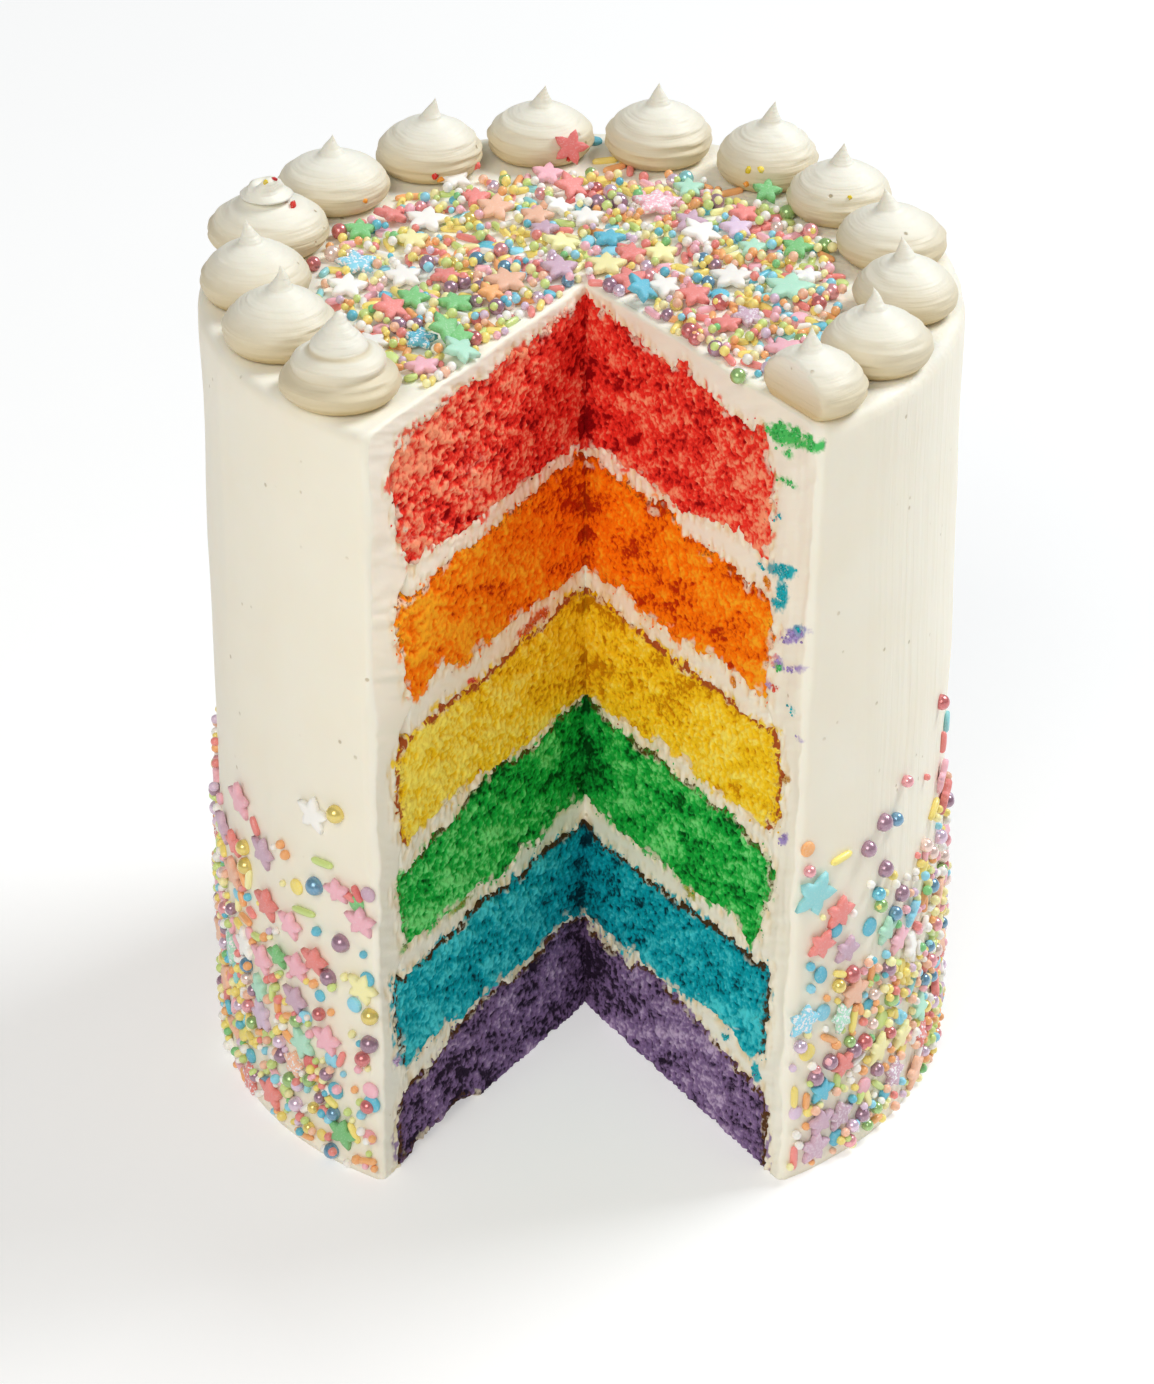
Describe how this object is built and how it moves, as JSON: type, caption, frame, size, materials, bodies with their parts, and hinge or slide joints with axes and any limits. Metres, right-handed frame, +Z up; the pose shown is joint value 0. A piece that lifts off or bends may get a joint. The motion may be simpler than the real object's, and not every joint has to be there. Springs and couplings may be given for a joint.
{
  "type": "rainbow layer cake",
  "caption": "Tall round layer cake with rainbow sponges, buttercream between and around them, piped dollops on the rim and scattered sprinkles, a slice cut out.",
  "frame": {"origin": "middle of the cake's underside: the centre of its bounding box seen from above, at the height of the surface it stands on", "axes": "+Z up through the layers; -Y towards the missing slice, so the cut faces are seen from the front"},
  "size_m": [0.1687, 0.156, 0.2037],
  "materials": {
    "sponge_purple": "open cake crumb",
    "sponge_blue": "open cake crumb",
    "sponge_green": "open cake crumb",
    "sponge_yellow": "open cake crumb",
    "sponge_orange": "open cake crumb",
    "sponge_red": "open cake crumb",
    "buttercream": "smooth spread buttercream, softly glossy",
    "piped_buttercream": "piped buttercream, softly glossy"
  },
  "bodies": {
    "root": {"sponge_purple": "sponge_purple", "sponge_blue": "sponge_blue", "sponge_green": "sponge_green", "sponge_yellow": "sponge_yellow", "sponge_orange": "sponge_orange", "sponge_red": "sponge_red", "filling_purple_blue": "buttercream", "filling_blue_green": "buttercream", "filling_green_yellow": "buttercream", "filling_yellow_orange": "buttercream", "filling_orange_red": "buttercream", "icing_coat": "buttercream", "dollop_01": "piped_buttercream", "dollop_02": "piped_buttercream", "dollop_03": "piped_buttercream", "dollop_04": "piped_buttercream", "dollop_05": "piped_buttercream", "dollop_06": "piped_buttercream", "dollop_07": "piped_buttercream", "dollop_08": "piped_buttercream", "dollop_09": "piped_buttercream", "dollop_10": "piped_buttercream", "dollop_11": "piped_buttercream", "dollop_12": "piped_buttercream", "dollop_13": "piped_buttercream", "dollop_14": "piped_buttercream"}
  },
  "joints": []
}
